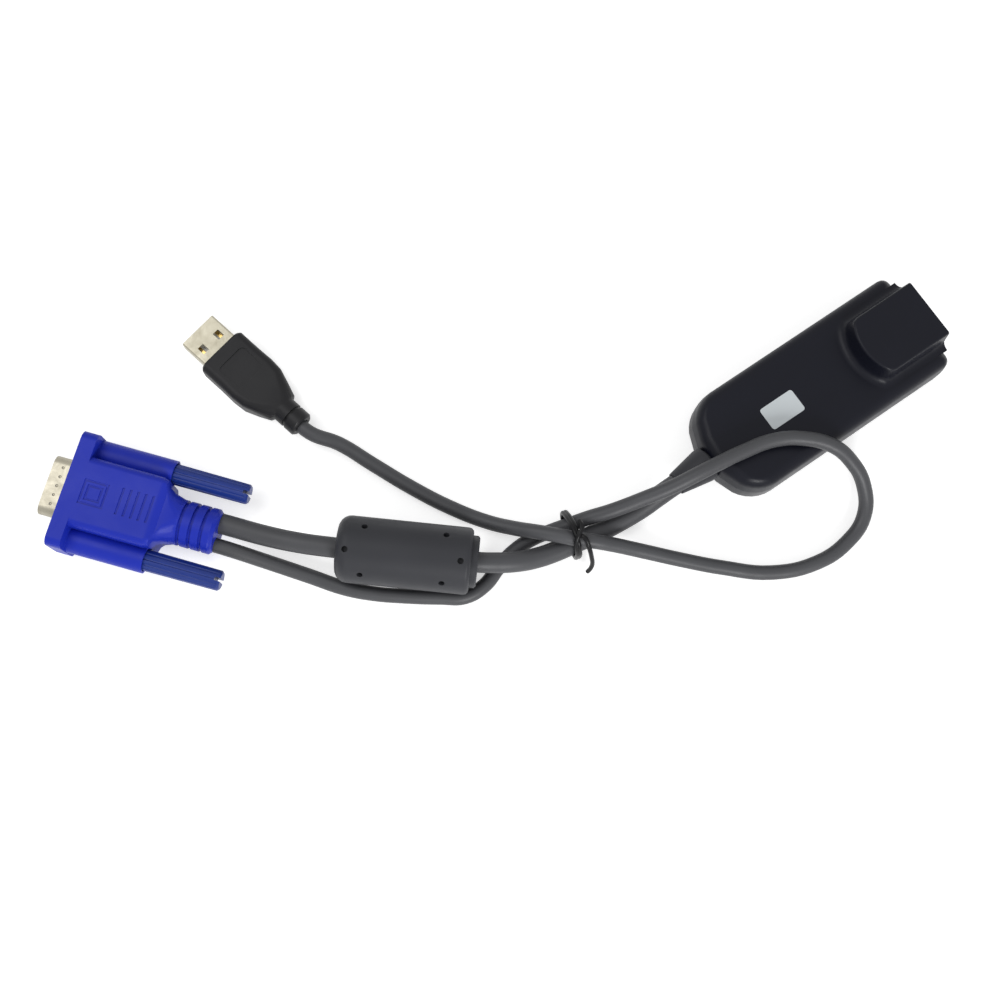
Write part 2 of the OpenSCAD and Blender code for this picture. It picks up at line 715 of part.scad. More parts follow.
module vga_hood() {
    tubes = [-screw_pitch / 2, screw_pitch / 2];
    shoulder = neck_start - block_l;
    color("#3038a8") in_vga() difference() {
        union() {
            translate([0, 0, axis_z]) prism_x(0, flange_t, round_rect(flange_w, flange_h, flange_corner, 5));
            loft([
                hood_ring(flange_t - overrun, block_w, flange_h, block_round),
                hood_ring(block_l - block_round, block_w, flange_h, block_round),
                hood_ring(block_l - block_round / 3, block_w - block_round / 2, flange_h - block_round / 3,
                    block_round),
                hood_ring(block_l, block_w - 2 * block_round, flange_h - block_round, block_round),
                hood_ring(block_l + shoulder / 3, 2 * neck_r + block_round / 2, 2 * neck_r + block_round / 3,
                    neck_r * neck_round_share),
                hood_ring(neck_start, 2 * neck_r, 2 * neck_r, neck_r - fit)]);
            translate([0, 0, axis_z]) turn([[block_l, 0], [block_l, neck_r - block_round],
                [neck_start - overrun, neck_r], [neck_end - neck_edge, neck_r],
                [neck_end, neck_r - neck_edge], [neck_end, 0]]);
            for (y = tubes) translate([0, y, axis_z]) rod(flange_t - overrun, tube_end, tube_r);
            block(flange_t - overrun, tube_end, screw_pitch, axis_z - web_h / 2, axis_z + web_h / 2);
        }
        translate([0, 0, axis_z]) {
            for (i = [0:groove_count - 1]) difference() {
                rod(neck_start + groove_w + i * groove_pitch, neck_start + 2 * groove_w + i * groove_pitch,
                    neck_r + overrun);
                rod(neck_start, neck_end, neck_r - groove_depth);
            }
            prism_x(-overrun, plate_t, round_rect(plate_w + 2 * fit, plate_h + 2 * fit, plate_corner, 4));
            prism_x(0, insulator_l + fit,
                round_rect(insulator_w + 2 * fit, insulator_h + 2 * fit, plate_corner, 4));
            prism_x(insulator_l, insulator_l + inner_mould_l,
                round_rect(insulator_w - plate_corner, insulator_h, plate_corner, 4));
            for (y = tubes) translate([0, y, 0]) {
                rod(0, screw_bore_l + overrun, screw_bore_r);
                rod(screw_bore_l, tube_end + overrun, tube_bore_r);
            }
            translate([0, video_exit_y, 0]) rod(neck_end - socket_depth, neck_end + overrun, video_r + fit);
        }
        translate([0, usb_exit_y, usb_exit_z]) rod(neck_end - socket_depth, neck_end + overrun, usb_r + fit);
        translate([mark_x, 0, flange_h - mark_t]) {
            for (size = [mark_size, mark_inner]) difference() {
                translate([-size / 2, -size / 2, 0]) cube([size, size, mark_t + overrun]);
                translate([-size / 2 + mark_w, -size / 2 + mark_w, -overrun])
                    cube([size - 2 * mark_w, size - 2 * mark_w, mark_t + 3 * overrun]);
            }
        }
        for (i = [0:bar_count - 1])
            translate([bar_x + i * bar_pitch, -bar_l / 2, flange_h - mark_t])
                cube([mark_w, bar_l, mark_t + overrun]);
    }
}

module vga_shell() {
    color("#c9c2ae") in_vga() translate([0, 0, axis_z]) difference() {
        union() {
            prism_x(0, plate_t, round_rect(plate_w, plate_h, plate_corner, 4));
            prism_x(-skirt_l, overrun, d_outline(0));
        }
        prism_x(-skirt_l - overrun, plate_t + overrun, d_outline(-skirt_t));
        for (side = [-1, 1]) translate([0, side * screw_pitch / 2, 0])
            rod(-overrun, plate_t + overrun, screw_bore_r);
        for (i = [-2:2], side = [-1, 1])
            translate([-skirt_l / 2, i * skirt_dimple_pitch,
                side * (skirt_h / 2 + skirt_dimple_r - skirt_dimple_sink)])
                sphere(r = skirt_dimple_r, $fn = small_sides);
    }
}

// The middle row stands half a pitch off the outer rows
module pin_places() {
    for (row = [-1:1], i = [-2:2])
        translate([0, i * pin_pitch + (row == 0 ? -pin_pitch / 4 : pin_pitch / 4), row * pin_row]) children();
}

module vga_insulator() {
    color("#20242c") in_vga() translate([0, 0, axis_z]) difference() {
        union() {
            prism_x(-insulator_set, plate_t + overrun, d_outline(-skirt_t - fit));
            prism_x(plate_t, insulator_l, round_rect(insulator_w, insulator_h, plate_corner, 4));
        }
        pin_places() rod(-insulator_set - overrun, insulator_l + overrun, pin_r + fit / 2);
    }
}

module vga_pins() {
    color("#d9b968") in_vga() translate([0, 0, axis_z]) pin_places()
        rod(insulator_l - pin_l - pin_tail, insulator_l, pin_r, $fn = small_sides);
}

module vga_inner_mould() {
    color("#d6d3c8") in_vga() translate([0, 0, axis_z])
        prism_x(insulator_l, insulator_l + inner_mould_l,
            round_rect(insulator_w - plate_corner - 2 * fit, insulator_h - 2 * fit, plate_corner, 4));
}

module plug_screw(y) {
    color("#b9bcc0") in_vga() translate([0, y, axis_z]) {
        rod(screw_tip, screw_tip + screw_thread_l, screw_r);
        rod(screw_tip + screw_thread_l, shank_end, shank_r);
    }
}

module plug_knob(y) {
    color("#2c4494") in_vga() translate([0, y, axis_z]) difference() {
        turn([[knob_start, 0], [knob_start, knob_r - knob_edge], [knob_start + knob_edge, knob_r],
            [knob_end - knob_edge, knob_tip_r], [knob_end, knob_tip_r - knob_edge], [knob_end, 0]]);
        rod(knob_start - overrun, shank_end + fit, shank_r + shank_fit);
        for (i = [0:flute_count - 1]) rotate([360 * i / flute_count, 0, 0])
            translate([0, 0, knob_r + flute_r / 3])
                rod(knob_start - overrun, knob_end - flute_inset, flute_r, $fn = small_sides);
        translate([knob_end - slot_depth, -slot_w / 2, -knob_r - overrun])
            cube([slot_depth + overrun, slot_w, 2 * (knob_r + overrun)]);
    }
}

module upper_screw() {
    plug_screw(screw_pitch / 2);
}

module upper_knob() {
    plug_knob(screw_pitch / 2);
}

module lower_screw() {
    plug_screw(-screw_pitch / 2);
}

module lower_knob() {
    plug_knob(-screw_pitch / 2);
}

module usb_cable() {
    color("#4a4a4e") tube_along(usb_route, usb_r, usb_r, usb_sides);
}

module usb_shell() {
    inner_w = usb_shell_w - 2 * usb_wall;
    inner_h = usb_shell_h - 2 * usb_wall;
    color("#cfc8b4") in_usb() translate([0, 0, usb_z]) difference() {
        prism_x(0, usb_shell_l, round_rect(usb_shell_w, usb_shell_h, usb_corner, 3));
        prism_x(-overrun, usb_shell_l + overrun, round_rect(inner_w, inner_h, usb_corner - usb_wall, 3));
        for (y = [-window_y, window_y])
            translate([window_x - window_l / 2, y - window_w / 2, -usb_shell_h])
                cube([window_l, window_w, 2 * usb_shell_h]);
    }
}

tongue_z = usb_z - usb_shell_h / 2 + usb_wall;

module usb_tongue() {
    color("#f2f2ee") in_usb()
        block(tongue_set, tongue_l, usb_shell_w - 2 * usb_wall - 2 * usb_corner,
            tongue_z, tongue_z + tongue_t);
}

module usb_contacts() {
    color("#d9b968") in_usb() for (y = strip_y)
        translate([strip_set, y - strip_w / 2, tongue_z + tongue_t]) cube([strip_l, strip_w, strip_t]);
}

function body_ring(x, w, h, r) = [for (p = round_rect(w, h, r, 5)) [x, p.x, usb_z + p.y]];

module usb_overmould() {
    front = usb_reach;
    round_end = 2 * usb_neck_r;
    color("#333336") in_usb() difference() {
        union() {
            loft([
                body_ring(front, body_w - body_round / 2, usb_body_h - body_round / 3, body_round),
                body_ring(front + body_round / 3, body_w, usb_body_h, body_round),
                body_ring(front + body_l * body_x_shares[0], body_w - body_round / 4, usb_body_h, body_round),
                body_ring(front + body_l * body_x_shares[1], body_w + body_round / 8, usb_body_h, body_round),
                body_ring(front + body_l * body_x_shares[2], body_w - body_round, usb_body_h, body_round),
                body_ring(front + body_l * body_x_shares[3], round_end + body_round,
                    usb_body_h - body_round / 8, body_late_round),
                body_ring(front + body_l, round_end, round_end, usb_neck_r - fit)]);
            translate([0, 0, usb_z]) turn([[front + body_l - overrun, 0],
                [front + body_l - overrun, usb_neck_r], [usb_neck_end - usb_groove_depth, usb_neck_r],
                [usb_neck_end, usb_neck_r - usb_groove_depth], [usb_neck_end, 0]]);
        }
        translate([0, 0, usb_z]) {
            difference() {
                rod(usb_groove_x, usb_groove_x + usb_groove_w, usb_neck_r + overrun);
                rod(front, usb_neck_end, usb_neck_r - usb_groove_depth);
            }
            prism_x(front - overrun, usb_shell_l + fit,
                round_rect(usb_shell_w + 2 * fit, usb_shell_h + 2 * fit, usb_corner, 3));
            rod(usb_neck_end - usb_cable_depth, usb_neck_end + overrun, usb_r + fit);
        }
        block(usb_shell_l, usb_shell_l + usb_inner_l, usb_inner_w,
            usb_z - usb_inner_h / 2, usb_z + usb_inner_h / 2);
        translate([panel_x, 0, usb_body_h - panel_depth]) linear_extrude(panel_depth + overrun)
            polygon(round_rect(panel_l, panel_w, panel_corner, 3));
    }
}

module usb_inner_mould() {
    color("#e6e3da") in_usb() block(usb_shell_l + fit, usb_shell_l + usb_inner_l - fit, usb_inner_w - 2 * fit,
        usb_z - usb_inner_h / 2 + fit, usb_z + usb_inner_h / 2 - fit);
}

// The wire goes once round the three runs of cable, and its ends are twisted and stick out
module twist_tie() {
    color("#1a1a1c") {
        translate([tie_x, tie_y, 0]) rotate([0, 0, tie_yaw]) wire_loop(tie_loop, tie_r, tie_sides);
        tube_along(tie_strand, tie_r, tie_tip_r, tie_sides);
        tube_along(tie_second, tie_r, tie_tip_r, tie_sides);
    }
}

case_top();
case_bottom();
case_screws();
case_label();
circuit_board();
board_chips();
board_capacitors();
lead_connector();
cable_leads();
jack_housing();
jack_shield();
jack_contacts();
cable_gland();
video_cable();
ferrite_moulding();
ferrite_core();
vga_hood();
vga_shell();
vga_insulator();
vga_pins();
vga_inner_mould();
upper_screw();
upper_knob();
lower_screw();
lower_knob();
usb_cable();
usb_shell();
usb_tongue();
usb_contacts();
usb_overmould();
usb_inner_mould();
twist_tie();
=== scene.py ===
import json
import math

import bpy
from mathutils import Matrix, Vector


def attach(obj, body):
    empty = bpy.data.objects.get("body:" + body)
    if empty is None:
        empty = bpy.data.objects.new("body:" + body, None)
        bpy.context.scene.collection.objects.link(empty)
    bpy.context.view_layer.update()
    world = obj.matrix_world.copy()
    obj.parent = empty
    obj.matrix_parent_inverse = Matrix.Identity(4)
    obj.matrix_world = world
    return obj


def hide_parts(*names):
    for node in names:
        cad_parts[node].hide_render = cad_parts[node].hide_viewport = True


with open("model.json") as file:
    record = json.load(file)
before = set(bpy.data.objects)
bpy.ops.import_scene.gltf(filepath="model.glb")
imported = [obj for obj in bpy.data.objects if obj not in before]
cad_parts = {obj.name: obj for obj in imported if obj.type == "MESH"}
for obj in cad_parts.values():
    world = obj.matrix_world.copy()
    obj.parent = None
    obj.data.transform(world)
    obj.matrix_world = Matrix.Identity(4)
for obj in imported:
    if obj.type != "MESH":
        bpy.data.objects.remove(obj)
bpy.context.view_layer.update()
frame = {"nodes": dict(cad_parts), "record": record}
scene = bpy.context.scene
scene.view_settings.view_transform = "Standard"
mm = 0.001
bodyOf = {}
for bodyName, members in frame["record"]["behaviour"]["bodies"].items():
    for nodeName in members:
        bodyOf[nodeName] = bodyName


# small helpers

def pickOnly(piece):
    bpy.ops.object.select_all(action="DESELECT")
    piece.select_set(True)
    bpy.context.view_layer.objects.active = piece


def applyAll(piece):
    pickOnly(piece)
    for modifier in list(piece.modifiers):
        bpy.ops.object.modifier_apply(modifier=modifier.name)


def smooth(piece, angle):
    pickOnly(piece)
    bpy.ops.object.shade_smooth_by_angle(angle=math.radians(angle))


def placedBy(x, y, yaw):
    return Matrix.Translation(Vector((x, y, 0)) * mm) @ Matrix.Rotation(math.radians(yaw), 4, "Z")


def inFrame(matrix, point):
    return matrix @ (Vector(point) * mm)


# where each plug and the ferrite lie, as in the CAD: x, y in mm and the turn about Z in degrees
vgaFrame = placedBy(-188.8, 91.0, -49.7)
usbFrame = placedBy(-135.6, 113.0, -76.5)
beadHeight = 10  # mm from the floor to the ferrite's axis
beadFrame = Matrix.Translation(Vector((0, 0, beadHeight)) * mm) @ placedBy(-123.0, 25.2, -39.9)
beadRoll = 21  # degrees that the moulding is turned on its cable, as its pin holes show

# camera: the photograph's viewpoint, in m and degrees, with the lens and its sensor in mm
camera = {
    "place": (-0.14943, -0.03262, 0.35457),
    "turn": (12.774, -2.542, -34.400),
    "lens": 46.05,
    "sensor": 36,
    "clip": (0.01, 20),
}
cameraData = bpy.data.cameras.new("camera")
cameraData.lens = camera["lens"]
cameraData.sensor_width = camera["sensor"]
cameraData.clip_start, cameraData.clip_end = camera["clip"]
cameraObject = bpy.data.objects.new("camera", cameraData)
cameraObject.location = camera["place"]
cameraObject.rotation_euler = [math.radians(a) for a in camera["turn"]]
scene.collection.objects.link(cameraObject)
scene.camera = cameraObject
print("camera placed")

# the two cables, in mm along the routes of the CAD; the USB cable's lowest points are 0.2 mm up
# and its loop is held 0.7 mm in, so that the smooth tube stays within the solids' box
videoCable = {
    "radius": 2.9, "sides": 5,
    "route": [
        inFrame(vgaFrame, (36, 2.7, 7.8)), inFrame(vgaFrame, (44, 2.7, 7.8)),
        (-151, 50.6, 8.2), (-144.6, 43.8, 9.2),
        inFrame(beadFrame, (-21, 0, 0)), inFrame(beadFrame, (-7, 0, 0)),
        inFrame(beadFrame, (7, 0, 0)), inFrame(beadFrame, (20.4, 0, 0)),
        (-103.6, 9.6, 9.3), (-98.6, 6.8, 8), (-92.6, 4.6, 6), (-86.6, 3.2, 4.9), (-81.6, 2.4, 4.5),
        (-74, 1.2, 3.4), (-66, 0.4, 3), (-59.5, 0, 3.8), (-54.5, 0, 5.4), (-50.4, 0, 6.4),
        (-48.2, 0, 6.5), (-42, 0, 6.5),
    ],
}
usbCable = {
    "radius": 2.1, "sides": 5,
    "route": [
        inFrame(vgaFrame, (36, -3.4, 7)), inFrame(vgaFrame, (44, -3.4, 7)),
        (-153.4, 43.6, 3.8), (-147.4, 36, 2.3), (-141.2, 27.8, 2.3), (-135.6, 22.2, 2.3),
        (-129.4, 17.2, 2.3), (-120.6, 10.8, 2.3), (-115, 7.2, 2.3), (-108.8, 6.8, 2.3),
        (-102.6, 8.8, 2.3), (-96.4, 10.2, 2.3), (-90.4, 10.2, 2.6), (-85, 9, 3.6),
        (-79.2, 7.4, 4.6),
        (-74, 5.8, 6.2), (-68.6, 3.8, 8.1), (-59.6, 1.4, 10), (-50.8, -0.8, 13),
        (-44.6, -1.8, 14.9),
        (-38.4, -2.6, 15.5), (-30, -3.8, 15.5), (-20.6, -6, 15.5), (-13.4, -10.2, 15.5),
        (-7.8, -16.2, 15.1), (-4.8, -22.6, 12), (-4.4, -30.4, 7.6), (-8.4, -37.4, 3.8),
        (-16.2, -40.5, 2.3), (-27, -40.4, 2.3), (-39.6, -35.4, 2.3), (-50.6, -26.2, 2.3),
        (-59.2, -17.6, 2.3), (-66.4, -10.4, 3.8), (-72.4, -5, 6.8), (-77, -1.2, 9.2),
        (-81.2, 2.4, 10), (-84.6, 5.8, 9.8), (-88.4, 9.8, 8.6), (-93.2, 15.2, 5.4),
        (-98, 21.2, 2.9),
        (-104.4, 30.8, 2.3), (-110.2, 41.6, 2.3), (-115.4, 53, 2.3), (-120.2, 63.4, 2.9),
        inFrame(usbFrame, (44, 0, 4.2)), inFrame(usbFrame, (36, 0, 4.2)),
    ],
}

# how fine a tube is: steps between two points of its route, and degrees that count as an edge
tube = {"steps": 6, "sharpFrom": 60}


# a smooth tube through the route's points, and the line that it follows
def cableAlong(name, settings):
    points = [p if isinstance(p, Vector) else Vector(p) * mm for p in settings["route"]]
    curve = bpy.data.curves.new(name, "CURVE")
    curve.dimensions = "3D"
    curve.resolution_u = tube["steps"]
    spline = curve.splines.new("BEZIER")
    spline.bezier_points.add(len(points) - 1)
    for bezierPoint, place in zip(spline.bezier_points, points):
        bezierPoint.co = place
        bezierPoint.handle_left_type = "AUTO"
        bezierPoint.handle_right_type = "AUTO"
    piece = bpy.data.objects.new(name, curve)
    scene.collection.objects.link(piece)
    pickOnly(piece)
    bpy.ops.object.convert(target="MESH", keep_original=True)
    thread = bpy.context.view_layer.objects.active
    line = [vertex.co.copy() for vertex in thread.data.vertices]
    pickOnly(thread)
    bpy.ops.object.delete()
    curve.bevel_depth = settings["radius"] * mm
    curve.bevel_resolution = settings["sides"]
    curve.use_fill_caps = True
    pickOnly(piece)
    bpy.ops.object.convert(target="MESH")
    smooth(piece, tube["sharpFrom"])
    return piece, line


# the wire tie: two turns round the crossing cables, and its two twisted ends; the turn is a
# section across the cables, in mm from "place", and the ends are in the frame
wireTie = {
    "radius": 0.65, "sides": 3,
    "place": (-81.6, 2.4), "turnAbout": -16.0, "spread": 1.45, "turns": 2,
    "turn": [(-1.8, 12.3), (-3.4, 9.8), (-4, 7.2), (-4, 4.6), (-3.6, 2.4), (-1.9, 0.9), (1.4, 0.75),
             (5, 1.1), (8, 2.1), (9.1, 4.8), (7.9, 7.8), (5.4, 10.8), (3, 12.6), (0.6, 13.2)],
    "shortEnd": [(-78.4, 5.8, 13.4), (-79, 3.8, 14.6), (-80.6, 2.8, 14.4), (-82, 1.9, 13.6)],
    "longEnd": [(-80, 1.2, 14), (-80.3, -1.8, 12.2), (-80.6, -3.8, 9.4), (-81, -5.4, 6.2),
                (-81.8, -6, 4), (-82.6, -6.1, 2.4)],
}
tieFrame = placedBy(*wireTie["place"], wireTie["turnAbout"])
tieCount = wireTie["turns"] * len(wireTie["turn"])
wireTie["route"] = list(wireTie["shortEnd"])
for step in range(tieCount):
    across, height = wireTie["turn"][step % len(wireTie["turn"])]
    along = wireTie["spread"] * (step / (tieCount - 1) - 0.5)
    wireTie["route"].append(inFrame(tieFrame, (along, across, height)))
wireTie["route"] += wireTie["longEnd"]

videoCablePiece, videoCableLine = cableAlong("videoCable", videoCable)
usbCablePiece, usbCableLine = cableAlong("usbCable", usbCable)
twistTiePiece = cableAlong("twistTie", wireTie)[0]
for piece, nodeName, slotName in ((videoCablePiece, "video_cable", "cable_jacket"),
                                  (usbCablePiece, "usb_cable", "cable_jacket"),
                                  (twistTiePiece, "twist_tie", "tie_plastic")):
    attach(piece, bodyOf[nodeName])
    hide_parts(nodeName)
print("cables laid")


# node groups that the materials share

def newGroup(name, inputs, outputs):
    group = bpy.data.node_groups.new(name, "ShaderNodeTree")
    for label, kind, value in inputs:
        socket = group.interface.new_socket(label, in_out="INPUT", socket_type=kind)
        if value is not None:
            socket.default_value = value
    for label, kind in outputs:
        group.interface.new_socket(label, in_out="OUTPUT", socket_type=kind)
    return group, group.nodes.new("NodeGroupInput"), group.nodes.new("NodeGroupOutput")


def addNode(tree, kind, **settings):
    node = tree.nodes.new(kind)
    for key, value in settings.items():
        if hasattr(node, key) and key not in node.inputs:
            setattr(node, key, value)
        else:
            node.inputs[key.replace("_", " ")].default_value = value
    return node


def join(tree, *pairs):
    for output, target in pairs:
        tree.links.new(output, target)


# the fine spark-eroded texture of moulded plastic, with a slow waviness under it
grainGroup, grainIn, grainOut = newGroup(
    "mouldGrain",
    [("Vector", "NodeSocketVector", None), ("Grain", "NodeSocketFloat", 3200.0),
     ("Depth", "NodeSocketFloat", 0.25), ("Wave", "NodeSocketFloat", 0.15)],
    [("Normal", "NodeSocketVector"), ("Mottle", "NodeSocketFloat")])
fine = addNode(grainGroup, "ShaderNodeTexNoise", Detail=3.0, Roughness=0.6)
slow = addNode(grainGroup, "ShaderNodeTexNoise", Scale=90.0, Detail=2.0, Roughness=0.5)
fineBump = addNode(grainGroup, "ShaderNodeBump", Distance=0.00004)
slowBump = addNode(grainGroup, "ShaderNodeBump", Distance=0.0003)
join(grainGroup,
     (grainIn.outputs["Vector"], fine.inputs["Vector"]),
     (grainIn.outputs["Grain"], fine.inputs["Scale"]),
     (grainIn.outputs["Vector"], slow.inputs["Vector"]),
     (slow.outputs["Fac"], slowBump.inputs["Height"]),
     (grainIn.outputs["Wave"], slowBump.inputs["Strength"]),
     (fine.outputs["Fac"], fineBump.inputs["Height"]),
     (grainIn.outputs["Depth"], fineBump.inputs["Strength"]),
     (slowBump.outputs["Normal"], fineBump.inputs["Normal"]),
     (fineBump.outputs["Normal"], grainOut.inputs["Normal"]),
     (slow.outputs["Fac"], grainOut.inputs["Mottle"]))

# a mask along worn outer edges, broken up so that it isn't even
wearGroup, wearIn, wearOut = newGroup(
    "edgeWear",
    [("Vector", "NodeSocketVector", None), ("Radius", "NodeSocketFloat", 0.0004),
     ("Breakup", "NodeSocketFloat", 900.0), ("Amount", "NodeSocketFloat", 0.5)],
    [("Mask", "NodeSocketFloat")])
rounded = addNode(wearGroup, "ShaderNodeBevel", samples=6)
shape = addNode(wearGroup, "ShaderNodeNewGeometry")
facing = addNode(wearGroup, "ShaderNodeVectorMath", operation="DOT_PRODUCT")
edgeRamp = addNode(wearGroup, "ShaderNodeMapRange")
edgeRamp.inputs["From Min"].default_value = 0.99
edgeRamp.inputs["From Max"].default_value = 0.90
patches = addNode(wearGroup, "ShaderNodeTexNoise", Detail=4.0, Roughness=0.65)
patchRamp = addNode(wearGroup, "ShaderNodeMapRange")
patchRamp.inputs["From Min"].default_value = 0.42
patchRamp.inputs["From Max"].default_value = 0.68
both = addNode(wearGroup, "ShaderNodeMath", operation="MULTIPLY")
amount = addNode(wearGroup, "ShaderNodeMath", operation="MULTIPLY", use_clamp=True)
join(wearGroup,
     (wearIn.outputs["Radius"], rounded.inputs["Radius"]),
     (rounded.outputs["Normal"], facing.inputs[0]), (shape.outputs["Normal"], facing.inputs[1]),
     (facing.outputs["Value"], edgeRamp.inputs["Value"]),
     (wearIn.outputs["Vector"], patches.inputs["Vector"]),
     (wearIn.outputs["Breakup"], patches.inputs["Scale"]),
     (patches.outputs["Fac"], patchRamp.inputs["Value"]),
     (edgeRamp.outputs["Result"], both.inputs[0]), (patchRamp.outputs["Result"], both.inputs[1]),
     (both.outputs["Value"], amount.inputs[0]), (wearIn.outputs["Amount"], amount.inputs[1]),
     (amount.outputs["Value"], wearOut.inputs["Mask"]))

# smudges and hairlines from handling, as a mask for the roughness
rubGroup, rubIn, rubOut = newGroup(
    "handling",
    [("Vector", "NodeSocketVector", None), ("Smudges", "NodeSocketFloat", 60.0),
     ("Hairlines", "NodeSocketFloat", 500.0)],
    [("Mask", "NodeSocketFloat"), ("Lines", "NodeSocketFloat")])
smudge = addNode(rubGroup, "ShaderNodeTexNoise", Detail=5.0, Roughness=0.7, Distortion=0.6)
smudgeRamp = addNode(rubGroup, "ShaderNodeMapRange")
smudgeRamp.inputs["From Min"].default_value = 0.35
smudgeRamp.inputs["From Max"].default_value = 0.7
stretch = addNode(rubGroup, "ShaderNodeMapping")
stretch.inputs["Scale"].default_value = (1.0, 0.04, 0.3)
stretch.inputs["Rotation"].default_value = (0.0, 0.2, 0.5)
lines = addNode(rubGroup, "ShaderNodeTexNoise", Detail=2.0, Roughness=0.5)
lineRamp = addNode(rubGroup, "ShaderNodeMapRange")
lineRamp.inputs["From Min"].default_value = 0.66
lineRamp.inputs["From Max"].default_value = 0.74
join(rubGroup,
     (rubIn.outputs["Vector"], smudge.inputs["Vector"]),
     (rubIn.outputs["Smudges"], smudge.inputs["Scale"]),
     (smudge.outputs["Fac"], smudgeRamp.inputs["Value"]),
     (smudgeRamp.outputs["Result"], rubOut.inputs["Mask"]),
     (rubIn.outputs["Vector"], stretch.inputs["Vector"]),
     (stretch.outputs["Vector"], lines.inputs["Vector"]),
     (rubIn.outputs["Hairlines"], lines.inputs["Scale"]),
     (lines.outputs["Fac"], lineRamp.inputs["Value"]),
     (lineRamp.outputs["Result"], rubOut.inputs["Lines"]))


# materials; handling changes the roughness by these, at its least and its most, and on worn
# edges or in scratches
plasticRub = {"least": -0.05, "most": 0.08, "edges": -0.15}
metalRub = {"most": 0.18, "scratches": 0.15}
def placeGroup(tree, group, **values):
    node = tree.nodes.new("ShaderNodeGroup")
    node.node_tree = group
    for key, value in values.items():
        node.inputs[key].default_value = value
    return node


def moulded(name, colour, worn, roughness=0.45, specular=0.4, grain=3200.0, depth=0.25, wave=0.15,
            wear=0.35, mottle=0.12):
    material = bpy.data.materials.new(name)
    material.use_nodes = True
    tree = material.node_tree
    shader = tree.nodes["Principled BSDF"]
    shader.inputs["Specular IOR Level"].default_value = specular
    place = tree.nodes.new("ShaderNodeTexCoord")
    texture = placeGroup(tree, grainGroup, Grain=grain, Depth=depth, Wave=wave)
    edges = placeGroup(tree, wearGroup, Amount=wear)
    rubbed = placeGroup(tree, rubGroup)
    tone = tree.nodes.new("ShaderNodeMix")
    tone.data_type = "RGBA"
    tone.inputs["A"].default_value = [c * (1 - mottle) for c in colour] + [1]
    tone.inputs["B"].default_value = [min(c * (1 + mottle), 1) for c in colour] + [1]
    edged = tree.nodes.new("ShaderNodeMix")
    edged.data_type = "RGBA"
    edged.inputs["B"].default_value = [*worn, 1]
    gloss = addNode(tree, "ShaderNodeMapRange")
    gloss.inputs["To Min"].default_value = roughness + plasticRub["least"]
    gloss.inputs["To Max"].default_value = roughness + plasticRub["most"]
    polish = addNode(tree, "ShaderNodeMath", operation="MULTIPLY_ADD", use_clamp=True)
    polish.inputs[1].default_value = plasticRub["edges"]
    join(tree,
         (place.outputs["Object"], texture.inputs["Vector"]),
         (place.outputs["Object"], edges.inputs["Vector"]),
         (place.outputs["Object"], rubbed.inputs["Vector"]),
         (texture.outputs["Mottle"], tone.inputs["Factor"]),
         (tone.outputs["Result"], edged.inputs["A"]),
         (edges.outputs["Mask"], edged.inputs["Factor"]),
         (edged.outputs["Result"], shader.inputs["Base Color"]),
         (rubbed.outputs["Mask"], gloss.inputs["Value"]),
         (edges.outputs["Mask"], polish.inputs[0]),
         (gloss.outputs["Result"], polish.inputs[2]),
         (polish.outputs["Value"], shader.inputs["Roughness"]),
         (texture.outputs["Normal"], shader.inputs["Normal"]))
    return material


def metal(name, colour, dark, roughness=0.3, tarnish=0.4):
    material = bpy.data.materials.new(name)
    material.use_nodes = True
    tree = material.node_tree
    shader = tree.nodes["Principled BSDF"]
    shader.inputs["Metallic"].default_value = 1.0
    place = tree.nodes.new("ShaderNodeTexCoord")
    texture = placeGroup(tree, grainGroup, Grain=1500.0, Depth=0.1, Wave=0.25)
    rubbed = placeGroup(tree, rubGroup, Smudges=220.0, Hairlines=900.0)
    tone = tree.nodes.new("ShaderNodeMix")
    tone.data_type = "RGBA"
    tone.inputs["A"].default_value = [*colour, 1]
    tone.inputs["B"].default_value = [*dark, 1]
    weight = addNode(tree, "ShaderNodeMath", operation="MULTIPLY")
    weight.inputs[1].default_value = tarnish
    gloss = addNode(tree, "ShaderNodeMapRange")
    gloss.inputs["To Min"].default_value = roughness
    gloss.inputs["To Max"].default_value = roughness + metalRub["most"]
    scratch = addNode(tree, "ShaderNodeMath", operation="MULTIPLY_ADD", use_clamp=True)
    scratch.inputs[1].default_value = metalRub["scratches"]
    join(tree,
         (place.outputs["Object"], texture.inputs["Vector"]),
         (place.outputs["Object"], rubbed.inputs["Vector"]),
         (rubbed.outputs["Mask"], weight.inputs[0]),
         (weight.outputs["Value"], tone.inputs["Factor"]),
         (tone.outputs["Result"], shader.inputs["Base Color"]),
         (rubbed.outputs["Mask"], gloss.inputs["Value"]),
         (rubbed.outputs["Lines"], scratch.inputs[0]), (gloss.outputs["Result"], scratch.inputs[2]),
         (scratch.outputs["Value"], shader.inputs["Roughness"]),
         (texture.outputs["Normal"], shader.inputs["Normal"]))
    return material


